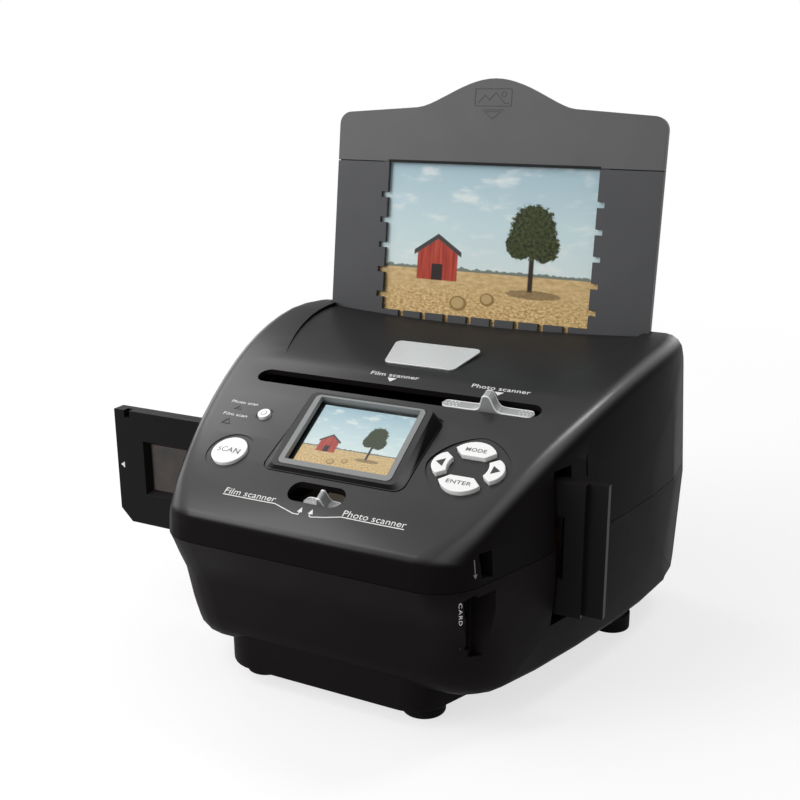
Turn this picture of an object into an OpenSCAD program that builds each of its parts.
// Desktop scanner for film strips and paper prints.
// Millimetres. Z up, Y to the rear, X to the right of someone who faces the control panel.
// The modules are drawn round the casing's plane of symmetry; placed() then moves the origin to the
// floor under the middle of the whole.

/* [Casing] */
// Distance from the tray's edge to the casing's side, at the widest place
side_margin = 18.5; // [16.5:0.1:22]
// Depth from the front lip to the rear wall
body_d = 211.5; // [208:0.5:216]
// Height of the panel's crest above the film holder
head_room = 38.3; // [36:0.1:44]
// Fall of the panel from its crest to the lip
panel_drop = 56.3; // [50:0.1:60]
// Distance from the crest to the rear wall
crest_back = 26; // [22:1:32]
// How far each side draws in from the widest place to the nose
nose_taper = 42.9; // [38:0.1:46]
// Distance from the rear wall to the widest place
wide_back = 32.5; // [24:0.5:40]
// Height of the widest belt of the side walls
belt_z = 72; // [66:1:77]
// Outward draft of the side walls above the belt, per millimetre
side_draft = 0.06; // [0:0.01:0.1]
// How far the side walls draw in under the belt, at the rear
under_rear = 1.5; // [0:0.5:4]
// How far the side walls draw in under the belt, at the nose
under_nose = 7; // [3:0.5:8]
// Height of the joint between the two casings
parting_z = 77; // [76:0.5:78.5]
// Gap left at that joint
seam = 0.3; // [0.2:0.1:0.6]
// Height of the lower casing's underside
belly_z = 17.5; // [16.5:0.5:19]
// How far the chin leans back under the joint
chin_lean = 14.5; // [10:0.5:16]
// Height at which the chin becomes upright
chin_z = 52; // [48:1:60]
// Wall of both casings
wall = 2.5; // [2:0.1:3]
// Radius along the panel's side edges
edge_r = 8; // [5:0.5:9]
// Radius of the nose corners in plan, at the joint
nose_r = 15.5; // [11:0.5:18]
// Radius of the nose corners in plan, at the underside
nose_low_r = 23; // [18:0.5:26]
// Radius of the rear corners in plan, at the joint
rear_r = 7; // [5:0.5:12]
// Radius of the rear corners in plan, at the underside
rear_low_r = 22; // [14:0.5:26]
// Radius under the side walls
belly_r = 5; // [4:0.5:8]
// Radius under the chin
chin_r = 15; // [10:0.5:17]

/* [Base and feet] */
// Height of the base plate's underside
base_z = 8.5; // [6:0.5:11]
// Thickness of the base plate
base_t = 2.5; // [2:0.1:4]
// Radius of a foot
foot_r = 10; // [8:0.5:11]
// Half spacing of the front feet
foot_front_x = 42.2; // [34:0.2:44]
// Half spacing of the rear feet
foot_rear_x = 94.5; // [80:0.5:94.5]
// Distance of the front feet from the lip
foot_front_in = 37.95; // [33:0.05:47]
// Distance of the rear feet from the rear wall
foot_rear_in = 59.25; // [59:0.05:75]

/* [Photo tray] */
// Width of the tray
tray_w = 190.2; // [184:0.2:192]
// Thickness of the tray
tray_t = 5; // [4.4:0.1:5.6]
// Backward lean of the tray
tray_lean = 7.6; // [5:0.1:9]
// Distance of the tray's front face from the rear wall, at the slot
tray_in = 15.55; // [14.8:0.05:18]
// Width of the print's window
photo_w = 123.4; // [116:0.2:126]
// Height of the print's window
photo_h = 84.8; // [80:0.2:86]
// Height of the tray's cap above its hinge line
cap_h = 30.7; // [26:0.1:34]
// Rise of the finger hump above the shoulders
hump_h = 15.6; // [12:0.1:18]
// How far the tray goes down to its scanning place
tray_travel = 109; // [100:1:110]

/* [Film holder] */
// Length of the film holder
holder_l = 266; // [258:1:274]
// Height of the film holder
holder_h = 62.5; // [58:0.5:66]
// Height of the film holder's lower edge above the floor
holder_z = 46; // [44:0.5:48]
// Thickness of the film holder
holder_t = 7.5; // [6.5:0.1:8]
// Distance of the film holder's front face from the lip
holder_in = 65.25; // [64:0.05:66.5]
// Frames in one strip
frame_count = 6;
// Spacing of the frames
frame_pitch = 38; // [37:0.1:38.4]
// Width of a frame's window
frame_w = 35.6; // [34:0.1:36]
// Height of a frame's window
frame_h = 25; // [23:0.5:27]
// Width of the film
film_w = 35; // [34:0.1:35]

/* [Display] */
// Visible width of the display
lcd_w = 49.7; // [46:0.1:51]
// Visible height of the display
lcd_h = 37.2; // [34:0.1:38.5]
// Backward tilt of the display
lcd_tilt = 30.5; // [28:0.1:33]
// Distance of the display's centre from the lip
lcd_in = 50.15; // [49:0.05:51.5]
// Width of the bezel beside the display
bezel_side = 3.9; // [3:0.1:5]
// Width of the bezel above and below the display
bezel_end = 2.9; // [2.5:0.1:4]

/* [Levers and keys] */
// Distance of the upper lever's slot from the lip
upper_slot_in = 89.05; // [87.5:0.05:90.5]
// Length of the upper lever's slot
upper_slot_l = 151; // [140:1:154]
// Width of the upper lever's slot
upper_slot_w = 10.5; // [9:0.1:11.5]
// Place of the upper lever at the photo mark
upper_lever_x = 50.9; // [49:0.1:52]
// Distance of the lower lever's slot from the lip
lower_slot_in = 20.95; // [19.5:0.05:21.5]
// Middle of the lower lever's slot, across the panel
lower_slot_x = -1.6; // [-2:0.1:-1]
// Length of the lower lever's slot
lower_slot_l = 28; // [27:0.5:32]
// Width of the lower lever's slot
lower_slot_w = 10; // [9:0.1:10.5]
// Place of the lower lever at the photo mark
lower_lever_x = 1.4; // [0.8:0.1:2]
// Travel of the lower lever between its marks
focus_travel = 5.2; // [4:0.1:5.6]
// Radius of the scan key
scan_r = 8.7; // [7.5:0.1:9]
// Radius of the small key
small_key_r = 3.2; // [2.6:0.1:3.6]
// Travel of every key
key_travel = 0.8; // [0.5:0.05:1]

/* [Hidden] */

$fn = 48;
eps = 0.01;
clear = 0.3;
slide = 0.3;

// ---- form of the casing ----
nose_shift = 1.5;
front_y = -body_d / 2 - nose_shift;
rear_y = body_d / 2 - nose_shift;
panel_w = tray_w + 2 * side_margin;
top_z = holder_z + holder_h + head_room;
crest_y = rear_y - crest_back;
wide_y = rear_y - wide_back;
panel_power = 1.91;
plan_power = 1.48;
lip_r = 6;
rear_top_r = 10;
rear_belly_r = 7;
chin_tuck = 3.2;
nose_reach = 42;
rear_reach = 55;
panel_steps = 14;
arc_steps = 4;
round_steps = 4;

function panel_z(y) =
    top_z - panel_drop * pow(abs(crest_y - y) / (crest_y - front_y), panel_power);

function panel_tilt(y) =
    atan((panel_z(y + 0.5) - panel_z(y - 0.5)));

function front_face(z) =
    front_y
    + chin_lean * min(1, max(0, (parting_z - z) / (parting_z - chin_z)))
    + chin_tuck * max(0, (chin_z - z) / (chin_z - belly_z));

function along(y) =
    abs(wide_y - y) / (wide_y - front_y);

function lower_part(z) =
    min(1, max(0, (parting_z - z) / (parting_z - belly_z)));

function side_x(y, z) =
    panel_w / 2
    - nose_taper * pow(along(y), plan_power)
    + side_draft * max(0, panel_z(y) - max(z, belt_z))
    - (under_rear + (under_nose - under_rear) * along(y))
        * pow(max(0, belt_z - z) / (belt_z - belly_z), 2);

function arc(c, r, from, to, steps) =
    [for (i = [0 : steps]) let (a = from + (to - from) * i / steps) c + r * [cos(a), sin(a)]];

// Side view of the casing, once round from the lip over the panel.
lip_tilt = panel_tilt(front_y + lip_r / 2);
lip_y = front_y + lip_r * (1 - sin(lip_tilt));
lip_c = [front_y + lip_r, panel_z(lip_y) - lip_r * cos(lip_tilt)];
rear_c = [rear_y - rear_top_r, panel_z(rear_y - rear_top_r) - rear_top_r];
chin_c = [front_face(belly_z + chin_r) + chin_r, belly_z + chin_r];

side_outline = concat(
    arc(lip_c, lip_r, 180, 90 + lip_tilt, arc_steps),
    [for (i = [1 : panel_steps - 1])
        let (y = lip_y + (rear_c.x - lip_y) * i / panel_steps)
        [y, panel_z(y)]],
    arc(rear_c, rear_top_r, 90, 0, arc_steps),
    [[rear_y, belt_z]],
    arc([rear_y - rear_belly_r, belly_z + rear_belly_r], rear_belly_r, 0, -90, arc_steps),
    [for (i = [1 : 5]) [rear_y - rear_belly_r + (chin_c.x - rear_y + rear_belly_r) * i / 6, belly_z]],
    arc(chin_c, chin_r, -90, -180, arc_steps),
    [for (z = [chin_z, (chin_z + parting_z) / 2, parting_z]) [front_face(z), z]]
);
outline_n = len(side_outline);

function outline_normal(i) =
    let (d = side_outline[(i + 1) % outline_n] - side_outline[(i + outline_n - 1) % outline_n])
    [-d.y, d.x] / norm(d);

function core(p) =
    let (
        v = (p.y - belly_z) / (panel_z(p.x) - belly_z),
        nose = max(0, 1 - (p.x - front_face(p.y)) / nose_reach),
        tail = max(0, 1 - (rear_y - p.x) / rear_reach)
    )
    [
        p.x
            + (nose_r + (nose_low_r - nose_r) * lower_part(p.y)) * pow(min(1, nose), 2)
            - (rear_r + (rear_low_r - rear_r) * lower_part(p.y)) * pow(min(1, tail), 2),
        p.y - edge_r * pow(max(0, 2 * v - 1), 2) + belly_r * pow(max(0, 1 - 2 * v), 2)
    ];

form_centre = [10, belt_z + 6];

// Ring k of the form drawn in by o: 0 ends the flat band, round_steps ends the rounding.
function form_point(i, k, o) =
    let (
        outer = side_outline[i],
        p = outer - o * outline_normal(i),
        q = core(outer),
        a = 90 * min(1, k / round_steps),
        shrink = k > round_steps ? (k - round_steps) / 3 : 0,
        m = p + (q - p) * (1 - cos(a)),
        c = m + (form_centre - m) * shrink
    )
    [side_x(c.x, c.y) - o - norm(q - p) * (1 - sin(a)), c.x, c.y];

module casing_form(o) {
    rings = round_steps + 3;
    right = [for (k = [rings - 1 : -1 : 0]) [for (i = [0 : outline_n - 1]) form_point(i, k, o)]];
    left = [for (k = [0 : rings - 1])
        [for (i = [0 : outline_n - 1]) let (p = form_point(i, k, o)) [-p.x, p.y, p.z]]];
    all_rings = concat(right, left);
    count = len(all_rings);
    tip_x = side_x(form_centre.x, form_centre.y) - o;
    points = concat(
        [for (r = all_rings) each r],
        [[tip_x, form_centre.x, form_centre.y], [-tip_x, form_centre.x, form_centre.y]]
    );
    faces = concat(
        [for (k = [0 : count - 2], i = [0 : outline_n - 1])
            let (a = k * outline_n + i, b = k * outline_n + (i + 1) % outline_n)
            each [[b, a, a + outline_n], [b + outline_n, b, a + outline_n]]],
        [for (i = [0 : outline_n - 1])
            [count * outline_n, i, (i + 1) % outline_n]],
        [for (i = [0 : outline_n - 1])
            let (last = (count - 1) * outline_n)
            [count * outline_n + 1, last + (i + 1) % outline_n, last + i]]
    );
    polyhedron(points = points, faces = faces, convexity = 6);
}

module casing_shell() {
    difference() {
        casing_form(0);
        casing_form(wall);
    }
}

// ---- places in the casing ----
key_y = front_y + 47.25;
lcd_y = front_y + lcd_in;
lower_slot_y = front_y + lower_slot_in;
upper_slot_y = front_y + upper_slot_in;
holder_y = front_y + holder_in;
tray_y = rear_y - tray_in;
slot_z = panel_z(tray_y);
key_tilt = panel_tilt(key_y);

module on_panel(x, y) {
    translate([x, y, panel_z(y)])
        rotate([panel_tilt(y), 0, 0])
            children();
}

module key_frame() {
    translate([0, key_y, panel_z(key_y)])
        rotate([key_tilt, 0, 0])
            children();
}

// What lies above the panel's surface lowered by depth, where the children are.
module panel_cut(depth) {
    intersection() {
        rotate([90, 0, 90])
            translate([0, 0, -100])
                linear_extrude(200)
                    polygon(concat(
                        [for (p = side_outline) if (p.y > panel_z(p.x) - 0.01) [p.x, p.y - depth]],
                        [[rear_y, top_z + 20], [front_y, top_z + 20]]
                    ));
        children();
    }
}

lcd_lift = 4.2;
module lcd_frame() {
    translate([0, lcd_y, panel_z(lcd_y) + lcd_lift])
        rotate([lcd_tilt, 0, 0])
            children();
}

module tray_frame_of_reference() {
    translate([0, tray_y, slot_z])
        rotate([-tray_lean, 0, 0])
            children();
}
module block(lo, hi) {
    translate(lo) cube(hi - lo);
}

module mirrored() {
    children();
    mirror([1, 0, 0]) children();
}

module rounded_plate(w, h, r, t) {
    linear_extrude(t)
        polygon(concat(
            arc([w / 2 - r, h / 2 - r], r, 0, 90, 6),
            arc([r - w / 2, h / 2 - r], r, 90, 180, 6),
            arc([r - w / 2, r - h / 2], r, 180, 270, 6),
            arc([w / 2 - r, r - h / 2], r, 270, 360, 6)
        ));
}

module stadium(l, w, t) {
    translate([-(l - w) / 2, -w / 2, 0]) cube([l - w, w, t]);
    for (s = [-1, 1])
        translate([s * (l - w) / 2, 0, 0]) cylinder(r = w / 2, h = t);
}

// ---- keys ----
scan_at = [-56.6, -13.6];
small_key_at = [-53.4, 13.6];
nav_at = [58.2, 0.5];
nav_ring = [19.6, 20.4];
nav_recess = 0.8;
nav_gap = 0.35;
key_ring = 3;
key_recess = 0.4;
key_proud = 1.3;
key_flange = 0.9;
key_flange_t = 1.4;
key_flange_z = -wall - nav_recess - clear - key_flange_t;
dome_h = 1.2;
board_t = 1.6;
board_z = -8;
key_foot_z = board_z + dome_h + key_travel + clear;

wide_key = concat(arc([0, 4.6], 11.2, 31, 149, 10), [[-5.5, 6.4], [5.5, 6.4]]);
side_key = concat(arc([9.2, 0], 7.6, -65.7, 65.7, 10), arc([0, 0], 9.4, 26, -26, 6));

module nav_outline(kind, grow) {
    translate(nav_at)
        rotate(kind == "enter" ? 180 : kind == "left" ? 180 : 0)
            offset(delta = grow)
                polygon(kind == "mode" || kind == "enter" ? wide_key : side_key);
}

module nav_key(kind, foot) {
    color("gainsboro")
        key_frame() {
            translate([0, 0, key_flange_z])
                linear_extrude(key_proud - key_flange_z) nav_outline(kind, 0);
            translate([0, 0, key_flange_z])
                linear_extrude(key_flange_t) nav_outline(kind, key_flange);
            translate([nav_at.x + foot.x, nav_at.y + foot.y, key_foot_z])
                cylinder(r = 1.6, h = key_flange_z - key_foot_z + eps);
        }
}

nav_feet = [[0, 10.5], [0, -10.5], [-12.8, 0], [12.8, 0]];

module round_key(at, r) {
    color("gainsboro")
        key_frame()
            translate([at.x, at.y, 0]) {
                translate([0, 0, key_flange_z]) cylinder(r = r, h = key_proud - key_flange_z - r / 16);
                intersection() {
                    translate([0, 0, key_proud - r * 4]) sphere(r = r * 4, $fn = 96);
                    translate([0, 0, key_proud - r / 4]) cylinder(r = r, h = r);
                }
                translate([0, 0, key_flange_z]) cylinder(r = r + 1.2, h = key_flange_t);
                translate([0, 0, key_foot_z]) cylinder(r = 1.6, h = key_flange_z - key_foot_z + eps);
            }
}

module scan_key() {
    round_key(scan_at, scan_r);
}

module small_key() {
    round_key(small_key_at, small_key_r);
}

module mode_key() {
    nav_key("mode", nav_feet[0]);
}

module enter_key() {
    nav_key("enter", nav_feet[1]);
}

module left_key() {
    nav_key("left", nav_feet[2]);
}

module right_key() {
    nav_key("right", nav_feet[3]);
}

module key_holes() {
    key_frame() {
        translate([scan_at.x, scan_at.y, -15]) cylinder(r = scan_r + 0.3, h = 30);
        translate([small_key_at.x, small_key_at.y, -15]) cylinder(r = small_key_r + 0.3, h = 30);
        for (kind = ["mode", "enter", "left", "right"])
            translate([0, 0, -15]) linear_extrude(30) nav_outline(kind, nav_gap);
        translate([nav_at.x, nav_at.y, -nav_recess])
            linear_extrude(10) polygon(nav_rim);
    }
    panel_cut(key_recess)
        key_frame() {
            translate([scan_at.x, scan_at.y, -5]) cylinder(r = scan_r + key_ring, h = 10);
            translate([small_key_at.x, small_key_at.y, -5]) cylinder(r = small_key_r + 1.2, h = 10);
        }
}

nav_rim = [for (i = [0 : 47])
    let (a = 7.5 * i, k = pow(pow(abs(cos(a)), 1.6) + pow(abs(sin(a)), 1.6), -1 / 1.6))
    [nav_ring.x * k * cos(a), nav_ring.y * k * sin(a)]];

left_board = [[-73, -22], [-40, 17]];
right_board = [[39, -16], [76, 17]];
left_posts = [[-70, 2], [-43, 1]];
right_posts = [nav_at, [42.5, -12.5], [72.5, 14]];

module key_posts() {
    key_frame()
        for (p = concat(left_posts, right_posts))
            translate([p.x, p.y, board_z]) cylinder(r = 2.2, h = -board_z - 1);
}

module key_boards() {
    color("darkgreen")
        key_frame() {
            block([left_board[0].x, left_board[0].y, board_z - board_t],
                [left_board[1].x, left_board[1].y, board_z]);
            block([right_board[0].x, right_board[0].y, board_z - board_t],
                [right_board[1].x, right_board[1].y, board_z]);
        }
}

module dome_switches() {
    color("silver")
        key_frame()
            for (p = [
                [scan_at.x, scan_at.y, 0],
                [small_key_at.x, small_key_at.y, 0],
                for (f = nav_feet) [nav_at.x + f.x, nav_at.y + f.y, 0]
            ])
                translate([p.x, p.y, board_z]) cylinder(r = 2.4, h = dome_h);
}

// ---- display ----
bezel_w = lcd_w + 2 * bezel_side;
bezel_h = lcd_h + 2 * bezel_end;
bezel_t = 6.6;
bezel_fit = 0.25;
window_z = -2.3;
window_t = 1;
module_t = 3.6;
lcd_up = 0.9;
surround_margin = 3.2;
surround_foot = [bezel_w + 13.3, bezel_h + 6];
surround_up = 1.5;
groove_w = 0.6;

module display_surround(top) {
    hull() {
        lcd_frame()
            translate([0, 0, top])
                rounded_plate(bezel_w + 2 * surround_margin, bezel_h + surround_margin, 3.5, 0.4);
        on_panel(0, lcd_y)
            translate([0, surround_up, -6])
                rounded_plate(surround_foot.x, surround_foot.y, 5, 5);
    }
}

module display_groove() {
    panel_cut(groove_w)
        on_panel(0, lcd_y)
            translate([0, surround_up, -10])
                difference() {
                    rounded_plate(surround_foot.x + 2 * groove_w, surround_foot.y + 2 * groove_w, 5, 20);
                    translate([0, 0, -1]) rounded_plate(surround_foot.x, surround_foot.y, 5, 30);
                }
}

module display_pocket() {
    lcd_frame() {
        translate([0, 0, -bezel_t - 0.3])
            rounded_plate(bezel_w + 2 * bezel_fit, bezel_h + 2 * bezel_fit, 2.5, 40);
        translate([0, 0, -20])
            rounded_plate(bezel_w - 4, bezel_h - 4, 1.5, 40);
    }
}

module display_bezel() {
    color("dimgray")
        lcd_frame()
            difference() {
                translate([0, 0, -bezel_t]) rounded_plate(bezel_w, bezel_h, 2.5, bezel_t + 0.2);
                translate([0, lcd_up, -5]) rounded_plate(lcd_w + 2.4, lcd_h + 2, 0.6, 10);
                translate([0, 0, -10]) rounded_plate(bezel_w - 2.6, bezel_h - 2.6, 1.5, 10 + window_z);
            }
}

module display_window() {
    color([0.6, 0.7, 0.75, 0.5])
        lcd_frame()
            translate([0, 0, window_z - window_t])
                rounded_plate(bezel_w - 3, bezel_h - 3, 1.3, window_t);
}

module display_module() {
    color("lightsteelblue")
        lcd_frame()
            translate([0, 0, window_z - window_t - module_t])
                rounded_plate(bezel_w - 3, bezel_h - 3, 1.3, module_t);
}

// ---- name plate ----
plate_y = front_y + 126.05;
plate_x = 2;
plate_top_w = 47.3;
plate_low_w = 39;
plate_h = 25.4;
plate_t = 0.9;
plate_sink = 0.6;

function plate_outline(grow) =
    let (
        r = 3,
        a = atan((plate_top_w - plate_low_w) / 2 / plate_h),
        t = plate_top_w / 2 + grow - r,
        l = plate_low_w / 2 + grow - r,
        h = plate_h / 2 + grow - r
    )
    concat(
        arc([t, h], r, -a, 90, 6),
        arc([-t, h], r, 90, 180 + a, 6),
        arc([-l, -h], r, 180 + a, 270, 6),
        arc([l, -h], r, 270, 360 - a, 6)
    );

module name_plate() {
    color("silver")
        on_panel(plate_x, plate_y)
            translate([0, 0, -plate_sink])
                linear_extrude(plate_t) polygon(plate_outline(0));
}

module plate_recess() {
    on_panel(plate_x, plate_y)
        translate([0, 0, -plate_sink - 0.1])
            linear_extrude(10) polygon(plate_outline(0.25));
}

// ---- scoop in front of the photo slot ----
scoop_front = tray_y - 88.7;
scoop_steps = 8;
scoop_across = 10;

function scoop_half(y) =
    tray_w / 2 - 3 - 20 * pow(max(0, (tray_y - y) / (tray_y - scoop_front)), 1.8);

function scoop_depth(u, v) =
    v * (2 + 3.4 * (1 - u * u) * v);

module scoop() {
    across = scoop_across;
    row = across + 1;
    floor_points = [for (j = [0 : scoop_steps], i = [0 : across])
        let (
            v = j / scoop_steps,
            y = scoop_front + (tray_y + 1 - scoop_front) * v,
            u = 2 * i / across - 1
        )
        [u * scoop_half(y), y, panel_z(y) + 0.15 - scoop_depth(u, pow(v, 0.6))]];
    roof_points = [for (p = floor_points) [p.x, p.y, top_z + 10]];
    n = len(floor_points);
    cells = [for (j = [0 : scoop_steps - 1], i = [0 : across - 1]) j * row + i];
    rim = concat(
        [for (i = [0 : across]) i],
        [for (j = [1 : scoop_steps]) j * row + across],
        [for (i = [across - 1 : -1 : 0]) scoop_steps * row + i],
        [for (j = [scoop_steps - 1 : -1 : 1]) j * row]
    );
    m = len(rim);
    polyhedron(
        points = concat(floor_points, roof_points),
        faces = concat(
            [for (c = cells) each [[c, c + 1, c + row], [c + 1, c + row + 1, c + row]]],
            [for (c = cells)
                each [[n + c, n + c + row, n + c + 1], [n + c + 1, n + c + row, n + c + row + 1]]],
            [for (k = [0 : m - 1])
                let (a = rim[k], b = rim[(k + 1) % m])
                each [[a, n + a, b], [b, n + a, n + b]]]
        ),
        convexity = 4
    );
}

// The casing stays this thick under the scoop.
module scoop_floor() {
    intersection() {
        casing_form(wall / 2);
        translate([0, 0, -wall]) scoop();
    }
}

// ---- side openings ----
gate_fit = 2.4;
holder_slot_top = holder_z + holder_h + 5;
holder_slot_low = holder_z - 5;
index_groove = [0.8, 1, 9.8];

module holder_slot() {
    block([-panel_w, holder_y - gate_fit, holder_slot_low],
        [panel_w, holder_y + holder_t + gate_fit, holder_slot_top]);
}

// Groove in the side wall against which the user lines up a frame.
module index_mark() {
    y = holder_y + 21.3;
    z = holder_z + 59;
    block([side_x(y, z) - index_groove.x, y - index_groove.y / 2, z],
        [panel_w, y + index_groove.y / 2, z + index_groove.z]);
}

card_y = front_y + 20.75;
main_board_y = card_y + 2.1;
usb_y = main_board_y - 2;
pocket_x = side_x(card_y, belt_z);
card_pocket = [[pocket_x - 9.1, card_y - 6.1, 41.5], [pocket_x + 30, card_y + 4.5, 73]];
usb_pocket = [[pocket_x - 8.1, usb_y - 3.6, 79.2], [pocket_x + 30, usb_y + 3, 91]];
pocket_rim = 1.8;

module pocket_block(p) {
    intersection() {
        casing_form(0.4);
        block(p[0] - [2, pocket_rim, pocket_rim], p[1] + [0, pocket_rim, pocket_rim]);
    }
}

// ---- screw posts ----
post_r = 4;
post_at = [[panel_w / 2 - 25.6, front_y + 100.25], [panel_w / 2 - 10.1, rear_y - 32.25]];
screw_r = 1.4;
screw_head_r = 2.8;
screw_seat_z = 66;
screw_l = 24;

module posts_at() {
    mirrored()
        for (p = post_at)
            translate([p.x, p.y, 0]) children();
}

module upper_casing() {
    color([0.18, 0.18, 0.18])
        difference() {
            union() {
                intersection() {
                    casing_shell();
                    block([-150, -150, parting_z + seam], [150, 150, 200]);
                }
                intersection() {
                    casing_form(wall / 2);
                    posts_at() translate([0, 0, parting_z + seam]) cylinder(r = post_r, h = 90);
                }
                display_surround(-0.5);
                key_posts();
                intersection() {
                    pocket_block(usb_pocket);
                    block([0, -150, parting_z + seam], [150, 0, 150]);
                }
                scoop_floor();
            }
            scoop();
            display_groove();
            display_pocket();
            key_holes();
            plate_recess();
            holder_slot();
            index_mark();
            block(usb_pocket[0], usb_pocket[1]);
            block([usb_pocket[0].x - 8, usb_y - 2.1, 80], [usb_pocket[0].x + 8, usb_y + 2.1, 88.2]);
            translate([0, upper_slot_y, 100]) stadium(upper_slot_l, upper_slot_w, 60);
            translate([lower_slot_x, lower_slot_y, 80]) stadium(lower_slot_l, lower_slot_w, 60);
            tray_frame_of_reference()
                block([-tray_w / 2 - 0.8, -0.8, -14], [tray_w / 2 + 0.8, tray_t + 0.8, 20]);
            posts_at() translate([0, 0, parting_z - 1])
                cylinder(r = screw_r + 0.05, h = screw_seat_z + screw_l + 2 - parting_z);
        }
}

module lower_casing() {
    color([0.14, 0.14, 0.14])
        difference() {
            union() {
                intersection() {
                    casing_shell();
                    block([-150, -150, 0], [150, 150, parting_z]);
                }
                intersection() {
                    casing_form(wall / 2);
                    posts_at() cylinder(r = post_r, h = parting_z);
                }
                intersection() {
                    pocket_block(card_pocket);
                    block([0, -150, 0], [150, 0, parting_z]);
                }
                intersection() {
                    casing_form(wall / 2);
                    board_cradles();
                }
            }
            holder_slot();
            block(card_pocket[0], card_pocket[1]);
            block([card_pocket[0].x - 8, card_y - 1.3, 45], [card_pocket[0].x + 8, card_y + 1.3, 71]);
            card_socket_block(clear);
            posts_at() {
                translate([0, 0, 0]) cylinder(r = screw_head_r + 0.3, h = screw_seat_z);
                cylinder(r = screw_r + 0.3, h = parting_z + 1);
            }
        }
}

module casing_screws() {
    color("silver")
        posts_at() {
            translate([0, 0, screw_seat_z - 2]) cylinder(r = screw_head_r, h = 2);
            translate([0, 0, screw_seat_z - eps]) cylinder(r = screw_r, h = screw_l);
        }
}

// ---- base ----
base_front = [panel_w / 2 - 63, front_y + 18.25];
base_rear = [panel_w / 2 - 1.6, rear_y - 42.25];
base_corner_r = 18;
foot_front_y = front_y + foot_front_in;
foot_rear_y = rear_y - foot_rear_in;

function base_outline(o) =
    let (
        w0 = base_front.x,
        y0 = base_front.y + o,
        w1 = base_rear.x,
        y1 = base_rear.y - o,
        b = atan((w1 - w0) / (base_rear.y - base_front.y)),
        r = base_corner_r - o,
        c0 = [w0 - o / cos(b) + o * tan(b) + (r * sin(b) - r) / cos(b), y0 + r],
        c1 = [w1 - o / cos(b) - o * tan(b) - r * (1 + sin(b)) / cos(b), y1 - r]
    )
    concat(
        arc(c0, r, -90, -b, 6),
        arc(c1, r, -b, 90, 8),
        arc([-c1.x, c1.y], r, 90, 180 + b, 8),
        arc([-c0.x, c0.y], r, 180 + b, 270, 6)
    );

feet_at = [
    [foot_front_x, foot_front_y], [-foot_front_x, foot_front_y],
    [foot_rear_x, foot_rear_y], [-foot_rear_x, foot_rear_y]
];

module base_plate() {
    color([0.12, 0.12, 0.12])
        difference() {
            translate([0, 0, base_z]) linear_extrude(belly_z - base_z) polygon(base_outline(0));
            translate([0, 0, base_z + base_t]) linear_extrude(20) polygon(base_outline(base_t));
            for (p = feet_at)
                translate([p.x, p.y, 0]) cylinder(r = 3.1, h = 20);
        }
}

module rubber_feet() {
    color([0.08, 0.08, 0.08])
        for (p = feet_at)
            translate([p.x, p.y, 0]) {
                cylinder(r = foot_r, h = base_z);
                translate([0, 0, base_z - eps]) cylinder(r = 3, h = base_t + 1);
                translate([0, 0, base_z + base_t + 0.2]) cylinder(r = 3.8, h = 1.6);
            }
}

// ---- boards and sockets ----
main_board_x = [card_pocket[0].x - 57, card_pocket[0].x - 7];
main_board_z = [30, 90];
cradle_x = [main_board_x[0] + 6, main_board_x[1] - 8];
socket_deep = 4;
card_slot = [45.4, 70.6];
usb_slot = [80.2, 88];

module board_cradles() {
    difference() {
        for (x = cradle_x)
            block([x - 3, main_board_y - 3, belly_z + 1],
                [x + 3, main_board_y + board_t + 3, main_board_z[0] + 6]);
        block([0, main_board_y - 0.1, main_board_z[0] - clear],
            [panel_w, main_board_y + board_t + 0.1, main_board_z[1]]);
    }
    difference() {
        mirrored()
            block([light_x - 3, light_y - 3, belly_z + 1], [light_x + 5, light_y + 19, 30]);
        mirrored()
            block([light_x - 0.1, light_y - 4, 26 - clear], [light_x + board_t + 0.1, light_y + 16.2, 60]);
    }
}

module main_board() {
    color("darkgreen")
        block([main_board_x[0], main_board_y, main_board_z[0]],
            [main_board_x[1], main_board_y + board_t, main_board_z[1]]);
}

module card_socket_block(grow) {
    block([card_pocket[0].x - 26.5 - grow, main_board_y - socket_deep - grow, card_slot[0] - grow],
        [card_pocket[0].x - 2 - clear, main_board_y, card_slot[1] + grow]);
}

module card_socket() {
    color("silver")
        difference() {
            card_socket_block(0);
            block([card_pocket[0].x - 20.5, card_y - 1.2, card_slot[0] + 0.6],
                [card_pocket[0].x + 10, card_y + 1.2, card_slot[1] - 0.6]);
        }
}

module usb_socket() {
    color("silver")
        difference() {
            block([usb_pocket[0].x - 16, main_board_y - socket_deep, usb_slot[0]],
                [usb_pocket[0].x - 2 - clear, main_board_y, usb_slot[1]]);
            block([usb_pocket[0].x - 14, usb_y - 1.5, usb_slot[0] + 0.5],
                [usb_pocket[0].x + 10, usb_y + 1.5, usb_slot[1] - 0.5]);
        }
}

// ---- camera ----
axis_z = holder_z + holder_h / 2 + 0.75;
gate_wall = 3.2;
gate_y = [holder_y - gate_wall, holder_y + holder_t + gate_wall];
camera_l = 28;
camera_y = [gate_y[0] - 3.8 - camera_l, gate_y[0] - 3.8];
camera_half = 19;
camera_top = axis_z + 14;
barrel_r = 12.5;
lens_y = camera_y[0] + 7;
lens_l = 12;
pin_y = lens_y + lens_l / 2;
cam_angle = 30;
lens_travel = focus_travel * tan(cam_angle);

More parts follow.
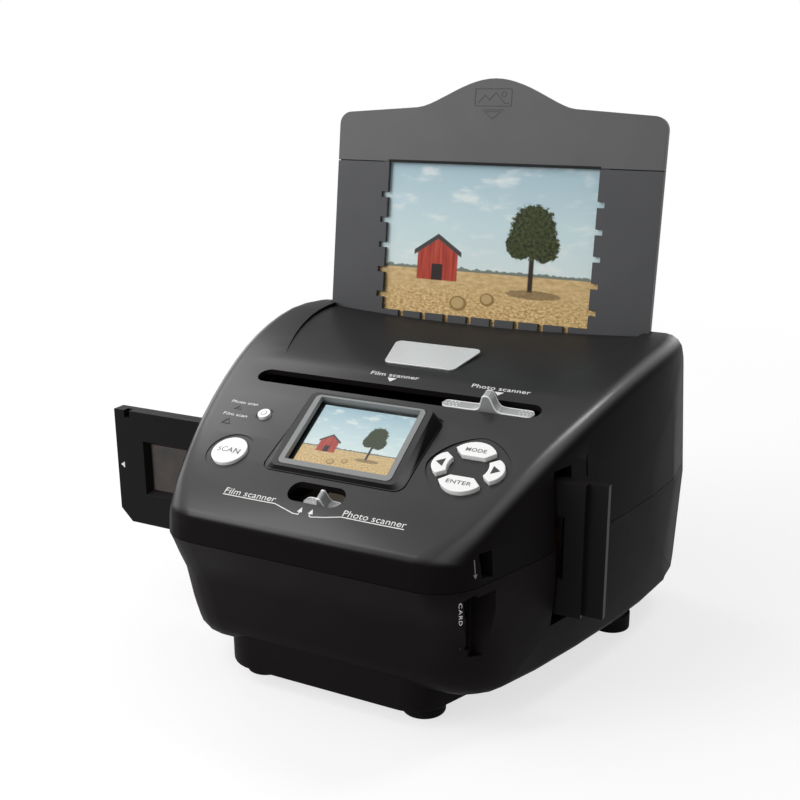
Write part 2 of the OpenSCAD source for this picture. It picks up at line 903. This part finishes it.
module camera_housing() {
    color([0.2, 0.2, 0.22])
        difference() {
            union() {
                block([-camera_half, camera_y[0], axis_z - 18], [camera_half, camera_y[1], camera_top]);
                mirrored()
                    block([camera_half - 5, camera_y[0] + 4, belly_z + wall],
                        [camera_half, camera_y[1] - 4, axis_z - 17]);
            }
            translate([0, camera_y[0] - 1, axis_z])
                rotate([-90, 0, 0]) cylinder(r = barrel_r + 0.08, h = camera_l + 2);
            block([-1.8, pin_y - 3, axis_z], [1.8, pin_y + lens_travel + 3, camera_top + 1]);
        }
}

module sensor_board() {
    color("darkgreen") {
        block([-17, camera_y[0] - board_t, axis_z - 16], [17, camera_y[0], axis_z + 13]);
        block([-6, camera_y[0], axis_z - 5], [6, camera_y[0] + 2, axis_z + 5]);
    }
}

module lens_carriage() {
    color([0.25, 0.25, 0.25]) {
        difference() {
            translate([0, lens_y, axis_z]) rotate([-90, 0, 0]) cylinder(r = barrel_r, h = lens_l);
            translate([0, lens_y - 1, axis_z]) rotate([-90, 0, 0]) cylinder(r = 7.1, h = lens_l + 2);
        }
        translate([0, pin_y, axis_z + barrel_r - 3])
            cylinder(r = 1.5, h = camera_top + 2 - axis_z - barrel_r + 3);
    }
}

module lens() {
    color([0.5, 0.6, 0.7])
        intersection() {
            translate([0, lens_y + 2, axis_z]) rotate([-90, 0, 0]) cylinder(r = 7, h = lens_l - 4);
            translate([0, lens_y + lens_l / 2 - 12, axis_z]) sphere(r = 15.6, $fn = 64);
            translate([0, lens_y + lens_l / 2 + 12, axis_z]) sphere(r = 15.6, $fn = 64);
        }
}

// ---- levers ----
function bell(x, w, h) =
    h / (1 + pow(abs(x) / w, 3));

module finger_lever(l, w, h) {
    half = l / 2;
    steps = 20;
    intersection() {
        rotate([90, 0, 0])
            translate([0, 0, -w / 2])
                linear_extrude(w)
                    polygon(concat(
                        [for (i = [0 : steps]) let (x = -half + l * i / steps) [x, 0.2 + bell(x, l / 9, h)]],
                        [[half, -1.4], [-half, -1.4]]
                    ));
        translate([0, 0, -2]) stadium(l, w, h + 4);
    }
}

upper_lever = [43.6, 8, 7.2];
lower_lever = [18, 7.4, 6.8];

module mode_lever() {
    color("silver") {
        on_panel(upper_lever_x, upper_slot_y) 
            finger_lever(upper_lever[0], upper_lever[1], upper_lever[2]);
        block([upper_lever_x - 5, upper_slot_y - 2.6, rail_z + 6],
            [upper_lever_x + 5, upper_slot_y + 2.6, panel_z(upper_slot_y) - 0.4]);
    }
}

lever_sink = 2.2;

module focus_lever() {
    color("silver")
        difference() {
            union() {
                on_panel(lower_lever_x, lower_slot_y)
                    translate([0, 0, -lever_sink])
                        finger_lever(lower_lever[0], lower_lever[1], lower_lever[2]);
                block([lower_lever_x - 4, lower_slot_y - 2, camera_top + clear],
                    [lower_lever_x + 4, lower_slot_y + 2, panel_z(lower_slot_y) - lever_sink - 0.6]);
                block([lower_lever_x - 9, lower_slot_y - 4, camera_top + clear],
                    [lower_lever_x + 9, pin_y + 7, camera_top + clear + 2]);
            }
            translate([focus_travel / 2, pin_y + lens_travel / 2, camera_top])
                rotate([0, 0, cam_angle])
                    stadium(focus_travel / cos(cam_angle) + 3.2, 3.2, 4);
        }
}

gate_half = side_x(gate_y[0], belt_z) - wall - 5.2;
gate_top = holder_z + holder_h + clear + 1.5;
rail_z = gate_top + 3.7;
rail_r = 2;
rail_half = gate_half - 2;
light_w = 46;
light_z = [axis_z - 19, axis_z + 21];

module lever_rail() {
    color("silver")
        translate([-rail_half, upper_slot_y, rail_z])
            rotate([0, 90, 0]) cylinder(r = rail_r, h = 2 * rail_half);
}

backlight_y = gate_y[1] + 0.6;

module backlight_carriage() {
    color([0.2, 0.2, 0.2])
        difference() {
            union() {
                block([upper_lever_x - 13, upper_slot_y - 5, rail_z - 5],
                    [upper_lever_x + 13, upper_slot_y + 5, rail_z + 6]);
                block([upper_lever_x - 13, backlight_y + 3.4, light_z[0]],
                    [upper_lever_x + 13, backlight_y + 5.4, rail_z + 2]);
                block([upper_lever_x - 13, backlight_y + 3.4, rail_z - 5],
                    [upper_lever_x + 13, upper_slot_y, rail_z + 2]);
            }
            translate([upper_lever_x - 20, upper_slot_y, rail_z]) rotate([0, 90, 0])
                cylinder(r = rail_r + 0.08, h = 40);
        }
}

module backlight_board() {
    color("white")
        block([upper_lever_x - light_w / 2, backlight_y + 1.8, light_z[0]],
            [upper_lever_x + light_w / 2, backlight_y + 3.4, light_z[1]]);
}

module backlight_diffuser() {
    color("white")
        block([upper_lever_x - light_w / 2, backlight_y, light_z[0]],
            [upper_lever_x + light_w / 2, backlight_y + 1.8, light_z[1]]);
}

// ---- film gate and holder ----
holder_x = -frame_pitch / 2;
gate_leg = 6;
gate_light = [37, 26.5];

module film_gate() {
    run = [holder_y - slide, holder_y + holder_t + slide];
    color([0.22, 0.22, 0.22])
        difference() {
            union() {
                block([-gate_half, gate_y[0], holder_z - gate_leg], [gate_half, gate_y[1], gate_top]);
                mirrored() {
                    block([gate_half - gate_leg, gate_y[0], belly_z + wall],
                        [gate_half - gate_leg / 2, gate_y[1], holder_z]);
                    block([gate_half - gate_leg, gate_y[1] - gate_wall, rail_z - 10],
                        [gate_half, upper_slot_y + 5, rail_z + 6]);
                }
                block([-gate_leg, gate_y[0], belly_z + wall], [gate_leg, gate_y[1], holder_z]);
            }
            block([-panel_w, run[0], holder_z - clear], [panel_w, run[1], holder_z + holder_h + clear]);
            block([-gate_light.x / 2, gate_y[0] - 1, axis_z - gate_light.y / 2],
                [gate_light.x / 2, gate_y[1] + 1, axis_z + gate_light.y / 2]);
            translate([-rail_half - 0.2, upper_slot_y, rail_z]) rotate([0, 90, 0])
                cylinder(r = rail_r + 0.02, h = 2 * rail_half + 0.4);
        }
}

frame_span = frame_count * frame_pitch;
holder_split = holder_y + holder_t / 2;
film_t = 0.2;

module frame_windows(bevel, depth, from_y) {
    for (i = [0 : frame_count - 1])
        translate([holder_x - frame_span / 2 + (i + 0.5) * frame_pitch, from_y, axis_z])
            intersection() {
                translate([0, 0, -frame_h])
                    linear_extrude(2 * frame_h) polygon(window_taper(frame_w, bevel, depth));
                rotate([0, -90, 0])
                    translate([0, 0, -frame_w])
                        linear_extrude(2 * frame_w) polygon(window_taper(frame_h, bevel, depth));
            }
}

function window_taper(w, bevel, depth) =
    [[-w / 2, 0], [w / 2, 0], [(w + bevel) / 2, -depth], [-(w + bevel) / 2, -depth]];

module holder_half(x0, x1, y0, y1) {
    c = 7;
    translate([0, y1, 0])
        rotate([90, 0, 0])
            linear_extrude(y1 - y0)
                polygon([
                    [x0 + c, holder_z], [x1, holder_z],
                    [x1, holder_z + holder_h], [x0, holder_z + holder_h], [x0, holder_z + c]
                ]);
}

module film_channel() {
    block([holder_x - frame_span / 2 - clear, holder_split - film_t, axis_z - film_w / 2 - clear],
        [holder_x + frame_span / 2 + clear, holder_split + film_t, axis_z + film_w / 2 + clear]);
}

module holder_base() {
    x0 = holder_x - holder_l / 2;
    x1 = holder_x + holder_l / 2;
    color([0.2, 0.2, 0.2])
        difference() {
            holder_half(x0, x1, holder_split, holder_y + holder_t);
            film_channel();
            frame_windows(0, holder_t, holder_y + holder_t + 1);
            block([x0 + 6, holder_y + holder_t - 1.2, holder_z + 20],
                [x0 + 12, holder_y + holder_t + 1, holder_z + 42]);
            for (i = [0 : frame_count - 1])
                translate([holder_x - frame_span / 2 + (i + 0.5) * frame_pitch, holder_y + holder_t + 0.4, 0])
                    cylinder(r = 1.2, h = holder_z + 3);
        }
}

module holder_cover() {
    x0 = holder_x - holder_l / 2;
    x1 = holder_x + holder_l / 2 - 9;
    color([0.2, 0.2, 0.2])
        difference() {
            holder_half(x0, x1, holder_y, holder_split);
            film_channel();
            frame_windows(5, holder_t / 2 + 0.1, holder_split);
            block([x0 + 6.5, holder_y - 1, holder_z + holder_h - 4],
                [x0 + 10, holder_y + 9, holder_z + holder_h + 1]);
        }
}

module film_strip() {
    color([0.35, 0.2, 0.12])
        difference() {
            block([holder_x - frame_span / 2, holder_split - film_t / 2, axis_z - film_w / 2],
                [holder_x + frame_span / 2, holder_split + film_t / 2, axis_z + film_w / 2]);
            for (i = [0 : frame_count * 8 - 1], s = [-1, 1])
                translate([
                    holder_x - frame_span / 2 + (i + 0.5) * frame_pitch / 8,
                    holder_split,
                    axis_z + s * (film_w / 2 - 2.4)
                ])
                    cube([1.9, 2, 2.6], center = true);
        }
}

// ---- photo tray ----
tray_low = -15;
tray_split = 2.4;
guide_low = tray_low - tray_travel - 6;
window_low = -1.1;
tray_line = window_low + photo_h - 1;
tray_top = tray_line + cap_h;

module photo_guides() {
    color([0.2, 0.2, 0.2])
        intersection() {
            tray_frame_of_reference()
                mirrored()
                    difference() {
                        block([tray_w / 2 - 2.8, -2.6, guide_low], [tray_w / 2 + 3.4, tray_t + 2.6, -9]);
                        block([0, -slide, guide_low - 1], [tray_w / 2 + clear, tray_t + slide, 0]);
                    }
            block([-150, 0, belly_z + wall], [150, 150, 200]);
        }
}

function tray_shape(low, top) =
    [[-tray_w / 2, low], [tray_w / 2, low], [tray_w / 2, top], [-tray_w / 2, top]];

hump_half = 46;
shoulder_r = 7;
function hump(x) =
    hump_h * pow(cos(90 * min(1, abs(x) / hump_half)), 1.5);

module tray_back() {
    band = concat(
        [[-tray_w / 2, tray_line + 0.15], [tray_w / 2, tray_line + 0.15]],
        arc([tray_w / 2 - shoulder_r, tray_top - shoulder_r - 3.4], shoulder_r, 0, 85, 6),
        [for (i = [0 : 24]) let (x = hump_half * (1 - i / 12)) [x, tray_top - 0.5 + hump(x)]],
        arc([shoulder_r - tray_w / 2, tray_top - shoulder_r - 3.4], shoulder_r, 95, 180, 6)
    );
    color([0.3, 0.3, 0.3])
        tray_frame_of_reference()
            difference() {
                union() {
                    translate([0, tray_t, 0]) rotate([90, 0, 0]) linear_extrude(tray_t) polygon(band);
                    translate([0, tray_t, 0]) rotate([90, 0, 0])
                        linear_extrude(tray_t - tray_split) polygon(tray_shape(tray_low, tray_line + 1));
                }
                block([-photo_w / 2 - 5, tray_split - 1, window_low - 5.5],
                    [photo_w / 2 + 5, tray_split + 0.5, window_low + photo_h]);
            }
}

notch_w = 3;
notch_d = 4;
notch_pitch = 14.2;

module tray_frame() {
    color([0.27, 0.27, 0.27])
        tray_frame_of_reference()
            difference() {
                translate([0, tray_split, 0]) rotate([90, 0, 0])
                    linear_extrude(tray_split) polygon(tray_shape(tray_low, tray_line - 0.25));
                block([-photo_w / 2, -1, window_low], [photo_w / 2, 5, window_low + photo_h]);
                for (i = [0 : 4])
                    block([-photo_w / 2 - notch_d, -1, window_low + photo_h - 18 - notch_w - i * notch_pitch],
                        [photo_w / 2 + notch_d, 5, window_low + photo_h - 18 - i * notch_pitch]);
                for (i = [-3.5 : 3.5])
                    block([i * notch_pitch - notch_w / 2, -1, window_low - notch_d],
                        [i * notch_pitch + notch_w / 2, 5, window_low + 1]);
            }
}

module photo_print() {
    color([0.75, 0.8, 0.85])
        tray_frame_of_reference()
            block([-photo_w / 2 - 4.5, tray_split + 0.05, window_low - 5],
                [photo_w / 2 + 4.5, tray_split + 0.45, window_low + photo_h - 0.5]);
}

// ---- photo lights ----
light_x = tray_w / 2 - 11.1;
light_y = tray_y - 70.7;

module photo_lights() {
    color("white")
        mirrored()
            block([light_x, light_y, 26], [light_x + board_t, light_y + 16, 108]);
}

// ---- origin ----
casing_reach = max([
    for (k = [round_steps : round_steps + 2], i = [0 : outline_n - 1]) form_point(i, k, 0).x
]);
right_reach = max(casing_reach, holder_x + holder_l / 2);
tray_reach = tray_y + tray_t * cos(tray_lean) + (tray_top - 0.5 + hump_h) * sin(tray_lean);
middle = [(holder_x - holder_l / 2 + right_reach) / 2, (front_y + tray_reach) / 2];

module placed() {
    translate([-middle.x, -middle.y, 0])
        children();
}

placed() upper_casing();
placed() lower_casing();
placed() base_plate();
placed() rubber_feet();
placed() casing_screws();
placed() display_bezel();
placed() display_window();
placed() display_module();
placed() name_plate();
placed() scan_key();
placed() small_key();
placed() mode_key();
placed() enter_key();
placed() left_key();
placed() right_key();
placed() key_boards();
placed() dome_switches();
placed() main_board();
placed() card_socket();
placed() usb_socket();
placed() sensor_board();
placed() camera_housing();
placed() lens_carriage();
placed() lens();
placed() focus_lever();
placed() mode_lever();
placed() lever_rail();
placed() backlight_carriage();
placed() backlight_board();
placed() backlight_diffuser();
placed() film_gate();
placed() holder_base();
placed() holder_cover();
placed() film_strip();
placed() photo_guides();
placed() photo_lights();
placed() tray_back();
placed() tray_frame();
placed() photo_print();
